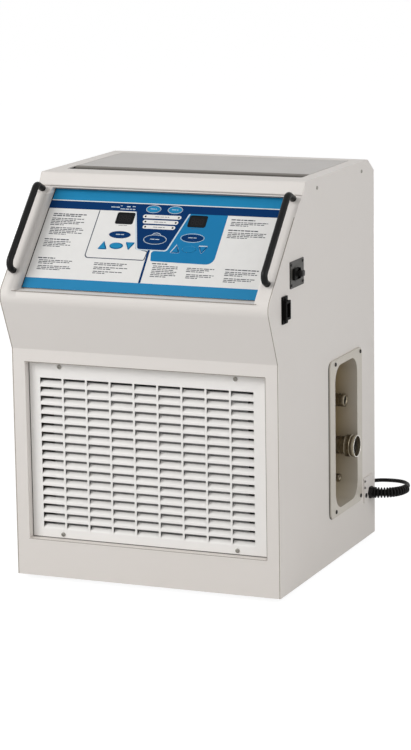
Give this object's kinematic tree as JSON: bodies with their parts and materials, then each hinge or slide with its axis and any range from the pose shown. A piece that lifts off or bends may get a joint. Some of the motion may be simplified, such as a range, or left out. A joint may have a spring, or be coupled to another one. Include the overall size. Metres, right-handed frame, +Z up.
{
  "type": "patient heating and cooling unit",
  "caption": "Floor-standing cabinet that heats and cools water for patient hoses: sloping console with grab bars, louvred intake, side hose recess, hidden casters.",
  "frame": {"origin": "centre of the footprint on the floor", "axes": "+X to the viewer's right, the front with the console faces -Y, +Z up"},
  "size_m": [0.5171, 0.6143, 0.649],
  "materials": {
    "cabinet_paint": "satin",
    "grille_paint": "satin",
    "deck_metal": "galvanized",
    "well_paint": "satin",
    "hinge_steel": "brushed",
    "screw_steel": "brushed",
    "cap_plastic": "matte",
    "overlay_film": "gloss",
    "key_film": "gloss",
    "display_black": "gloss",
    "board_green": "gloss",
    "handle_black": "gloss",
    "switch_plate": "satin",
    "black_plastic": "matte",
    "tub_plastic": "satin",
    "fitting_metal": "polished",
    "bracket_metal": "satin",
    "cord_rubber": "matte",
    "caster_zinc": "zinc",
    "wheel_rubber": "matte",
    "coil_fins": "matte",
    "fan_metal": "satin",
    "compressor_paint": "gloss",
    "tank_plastic": "matte",
    "pump_metal": "painted"
  },
  "bodies": {
    "cabinet": {"side_panel_left": "cabinet_paint", "side_panel_right": "cabinet_paint", "front_panel": "cabinet_paint", "top_cover": "cabinet_paint", "rear_panel": "cabinet_paint", "intake_grille": "grille_paint", "base_pan": "deck_metal", "equipment_shelf": "deck_metal", "fan_shroud": "deck_metal", "fill_well": "well_paint", "lid_hinges": "hinge_steel", "grille_screws": "screw_steel", "cover_screws": "screw_steel", "tub_screws": "screw_steel", "filler_caps": "cap_plastic", "control_overlay": "overlay_film", "display_modules": "display_black", "control_board": "board_green", "handle_left": "handle_black", "handle_right": "handle_black", "breaker_plate": "switch_plate", "probe_connector": "black_plastic", "cord_gland": "black_plastic", "power_plug": "black_plastic", "fittings_tub": "tub_plastic", "supply_coupling": "fitting_metal", "return_fitting": "fitting_metal", "drain_fitting": "fitting_metal", "gland_bracket": "bracket_metal", "power_cord": "cord_rubber", "power_cord_coil": "cord_rubber", "strain_relief": "cord_rubber", "caster_plates": "caster_zinc", "condenser_coil": "coil_fins", "compressor": "compressor_paint", "water_reservoirs": "tank_plastic", "circulation_pumps": "pump_metal"},
    "lid": {"lid": "cabinet_paint"},
    "heat_key": {"heat_key": "key_film"},
    "heat_up_key": {"heat_up_key": "key_film"},
    "heat_set_key": {"heat_set_key": "key_film"},
    "heat_down_key": {"heat_down_key": "key_film"},
    "cool_key": {"cool_key": "key_film"},
    "cool_up_key": {"cool_up_key": "key_film"},
    "cool_set_key": {"cool_set_key": "key_film"},
    "cool_down_key": {"cool_down_key": "key_film"},
    "left_mode_key": {"left_mode_key": "key_film"},
    "right_mode_key": {"right_mode_key": "key_film"},
    "pump_key": {"pump_key": "key_film"},
    "toggle": {"breaker_toggle": "black_plastic"},
    "sleeve": {"coupling_sleeve": "fitting_metal"},
    "swivel_front_left": {"caster_fork_front_left": "caster_zinc"},
    "swivel_front_right": {"caster_fork_front_right": "caster_zinc"},
    "swivel_rear_left": {"caster_fork_rear_left": "caster_zinc"},
    "swivel_rear_right": {"caster_fork_rear_right": "caster_zinc"},
    "wheel_front_left": {"caster_wheel_front_left": "wheel_rubber"},
    "wheel_front_right": {"caster_wheel_front_right": "wheel_rubber"},
    "wheel_rear_left": {"caster_wheel_rear_left": "wheel_rubber"},
    "wheel_rear_right": {"caster_wheel_rear_right": "wheel_rubber"},
    "fan": {"condenser_fan": "fan_metal"}
  },
  "joints": [
    {"name": "lid_hinge", "type": "hinge", "parent": "cabinet", "child": "lid", "pos_m": [0, 0.1695, 0.6448], "axis": [-1, 0, 0], "range_deg": [0, 100]},
    {"name": "toggle_rock", "type": "hinge", "parent": "cabinet", "child": "toggle", "pos_m": [0.2205, -0.125, 0.512], "axis": [0, 1, 0], "range_deg": [-14, 14]},
    {"name": "sleeve_slide", "type": "slide", "parent": "cabinet", "child": "sleeve", "axis": [-1, 0, 0], "range_m": [0, 0.006], "stiffness_N_per_m": 800},
    {"name": "fan_spin", "type": "hinge", "parent": "cabinet", "child": "fan", "pos_m": [0, -0.121, 0.203], "axis": [0, 1, 0], "continuous": true},
    {"name": "heat_key_press", "type": "slide", "parent": "cabinet", "child": "heat_key", "axis": [0, 0.7224, -0.6915], "range_m": [0, 0.0005], "stiffness_N_per_m": 300},
    {"name": "heat_up_key_press", "type": "slide", "parent": "cabinet", "child": "heat_up_key", "axis": [0, 0.7224, -0.6915], "range_m": [0, 0.0005], "stiffness_N_per_m": 300},
    {"name": "heat_set_key_press", "type": "slide", "parent": "cabinet", "child": "heat_set_key", "axis": [0, 0.7224, -0.6915], "range_m": [0, 0.0005], "stiffness_N_per_m": 300},
    {"name": "heat_down_key_press", "type": "slide", "parent": "cabinet", "child": "heat_down_key", "axis": [0, 0.7224, -0.6915], "range_m": [0, 0.0005], "stiffness_N_per_m": 300},
    {"name": "cool_key_press", "type": "slide", "parent": "cabinet", "child": "cool_key", "axis": [0, 0.7224, -0.6915], "range_m": [0, 0.0005], "stiffness_N_per_m": 300},
    {"name": "cool_up_key_press", "type": "slide", "parent": "cabinet", "child": "cool_up_key", "axis": [0, 0.7224, -0.6915], "range_m": [0, 0.0005], "stiffness_N_per_m": 300},
    {"name": "cool_set_key_press", "type": "slide", "parent": "cabinet", "child": "cool_set_key", "axis": [0, 0.7224, -0.6915], "range_m": [0, 0.0005], "stiffness_N_per_m": 300},
    {"name": "cool_down_key_press", "type": "slide", "parent": "cabinet", "child": "cool_down_key", "axis": [0, 0.7224, -0.6915], "range_m": [0, 0.0005], "stiffness_N_per_m": 300},
    {"name": "left_mode_key_press", "type": "slide", "parent": "cabinet", "child": "left_mode_key", "axis": [0, 0.7224, -0.6915], "range_m": [0, 0.0005], "stiffness_N_per_m": 300},
    {"name": "right_mode_key_press", "type": "slide", "parent": "cabinet", "child": "right_mode_key", "axis": [0, 0.7224, -0.6915], "range_m": [0, 0.0005], "stiffness_N_per_m": 300},
    {"name": "pump_key_press", "type": "slide", "parent": "cabinet", "child": "pump_key", "axis": [0, 0.7224, -0.6915], "range_m": [0, 0.0005], "stiffness_N_per_m": 300},
    {"name": "swivel_front_left_turn", "type": "hinge", "parent": "cabinet", "child": "swivel_front_left", "pos_m": [-0.172, -0.144, 0.056], "axis": [0, 0, 1], "continuous": true},
    {"name": "wheel_front_left_roll", "type": "hinge", "parent": "swivel_front_left", "child": "wheel_front_left", "pos_m": [-0.172, -0.128, 0.025], "axis": [1, 0, 0], "continuous": true},
    {"name": "swivel_front_right_turn", "type": "hinge", "parent": "cabinet", "child": "swivel_front_right", "pos_m": [0.172, -0.144, 0.056], "axis": [0, 0, 1], "continuous": true},
    {"name": "wheel_front_right_roll", "type": "hinge", "parent": "swivel_front_right", "child": "wheel_front_right", "pos_m": [0.172, -0.128, 0.025], "axis": [1, 0, 0], "continuous": true},
    {"name": "swivel_rear_left_turn", "type": "hinge", "parent": "cabinet", "child": "swivel_rear_left", "pos_m": [-0.172, 0.179, 0.056], "axis": [0, 0, 1], "continuous": true},
    {"name": "wheel_rear_left_roll", "type": "hinge", "parent": "swivel_rear_left", "child": "wheel_rear_left", "pos_m": [-0.172, 0.195, 0.025], "axis": [1, 0, 0], "continuous": true},
    {"name": "swivel_rear_right_turn", "type": "hinge", "parent": "cabinet", "child": "swivel_rear_right", "pos_m": [0.172, 0.179, 0.056], "axis": [0, 0, 1], "continuous": true},
    {"name": "wheel_rear_right_roll", "type": "hinge", "parent": "swivel_rear_right", "child": "wheel_rear_right", "pos_m": [0.172, 0.195, 0.025], "axis": [1, 0, 0], "continuous": true}
  ]
}
